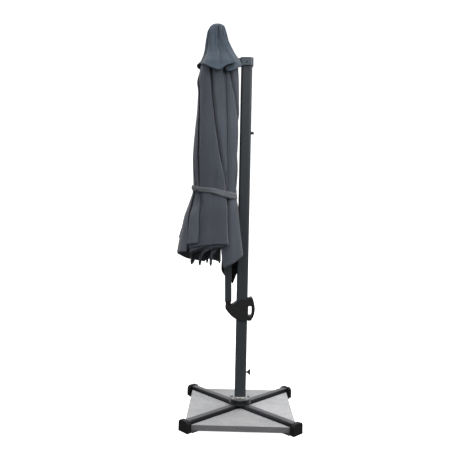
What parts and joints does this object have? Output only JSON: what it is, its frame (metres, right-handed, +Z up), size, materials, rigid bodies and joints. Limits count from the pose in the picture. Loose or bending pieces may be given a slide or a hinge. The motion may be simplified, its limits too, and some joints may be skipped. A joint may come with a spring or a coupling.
{
  "type": "cantilever parasol",
  "caption": "Folding cantilever parasol with a furled, tied canopy hung from a boom and strut on a swivelling mast, on a cross base weighted with slabs.",
  "frame": {"origin": "on the floor under the mast's turning axis, at the centre of the cross base", "axes": "+Z up along the mast, -X towards the boom and canopy, -Y towards the viewer of the picture"},
  "size_m": [0.7852, 0.7468, 2.568],
  "materials": {
    "dark_paint": "satin charcoal powder coat",
    "black_plastic": "moulded satin black",
    "grey_slab": "mottled light grey cast stone",
    "zinc_steel": "bright zinc plate",
    "nylon": "natural nylon",
    "rubber_pad": "black brake rubber",
    "canopy_cloth": "woven slate grey polyester"
  },
  "bodies": {
    "base": {"cross_arm_a": "dark_paint", "cross_arm_b": "dark_paint", "foot_cap_front_left": "black_plastic", "foot_cap_front_right": "black_plastic", "foot_cap_back_left": "black_plastic", "foot_cap_back_right": "black_plastic", "slab_front": "grey_slab", "slab_right": "grey_slab", "slab_back": "grey_slab", "slab_left": "grey_slab", "hub_plate": "dark_paint", "spigot": "zinc_steel", "hub_bolts": "zinc_steel", "hub_nuts": "zinc_steel", "thrust_washer": "nylon"},
    "mast": {"mast_tube": "dark_paint", "lower_bush": "nylon", "upper_bush": "nylon", "mast_head": "dark_paint", "head_cap": "black_plastic", "head_rivets": "zinc_steel", "stop_peg": "black_plastic", "knob_insert": "zinc_steel"},
    "knob": {"wing_knob": "black_plastic"},
    "strut": {"strut_bar_front": "dark_paint", "strut_bar_rear": "dark_paint", "strut_spacer": "zinc_steel", "head_bolt": "zinc_steel", "head_nut": "zinc_steel", "elbow_bolt": "zinc_steel", "elbow_nut": "zinc_steel", "elbow_washers": "nylon"},
    "boom": {"boom_tube": "dark_paint", "boom_foot": "black_plastic", "boom_tip": "black_plastic", "elbow_sleeve": "nylon", "tip_pin": "zinc_steel"},
    "slider": {"slider_shell_front": "black_plastic", "slider_shell_rear": "black_plastic", "slider_liner": "nylon", "slider_screws": "zinc_steel", "foot_bolt": "zinc_steel", "foot_nut": "zinc_steel", "brake_pad": "rubber_pad", "trigger_pin": "zinc_steel", "trigger_spring": "zinc_steel"},
    "trigger": {"release_trigger": "black_plastic"},
    "canopy": {"hub_carrier": "dark_paint", "canopy_pole": "dark_paint", "top_notch": "black_plastic", "runner": "black_plastic", "hinge_wires": "zinc_steel", "ribs": "dark_paint", "stretchers": "dark_paint", "stretcher_pins": "zinc_steel", "rib_tips": "black_plastic", "hood_finial": "black_plastic", "canopy_fabric": "canopy_cloth", "vent_hood": "canopy_cloth", "tie_strap": "canopy_cloth"}
  },
  "joints": [
    {"name": "mast_swivel", "type": "hinge", "parent": "base", "child": "mast", "pos_m": [0, 0, 0.3], "axis": [0, 0, 1], "continuous": true},
    {"name": "knob_turn", "type": "hinge", "parent": "mast", "child": "knob", "pos_m": [0.05, 0, 0.268], "axis": [1, 0, 0], "continuous": true},
    {"name": "strut_swing", "type": "hinge", "parent": "mast", "child": "strut", "pos_m": [-0.09, 0, 2.31], "axis": [0, 1, 0], "range_deg": [0, 68.5]},
    {"name": "boom_elbow", "type": "hinge", "parent": "strut", "child": "boom", "pos_m": [-0.10688, 0, 1.50418], "axis": [0, 1, 0], "range_deg": [-138, 0]},
    {"name": "slider_pivot", "type": "hinge", "parent": "boom", "child": "slider", "pos_m": [-0.09, 0, 0.69835], "axis": [0, 1, 0], "range_deg": [0, 69]},
    {"name": "canopy_pivot", "type": "hinge", "parent": "boom", "child": "canopy", "pos_m": [-0.12376, 0, 2.31], "axis": [0, 1, 0], "range_deg": [0, 69]},
    {"name": "trigger_squeeze", "type": "hinge", "parent": "slider", "child": "trigger", "pos_m": [0.07, 0, 0.7], "axis": [0, -1, 0], "range_deg": [0, 5], "stiffness_Nm_per_rad": 0.8}
  ],
  "couplings": [
    {"joint": "boom_elbow", "follows": "strut_swing", "ratio": -2},
    {"joint": "slider_pivot", "follows": "strut_swing", "ratio": 1},
    {"joint": "canopy_pivot", "follows": "strut_swing", "ratio": 1}
  ]
}
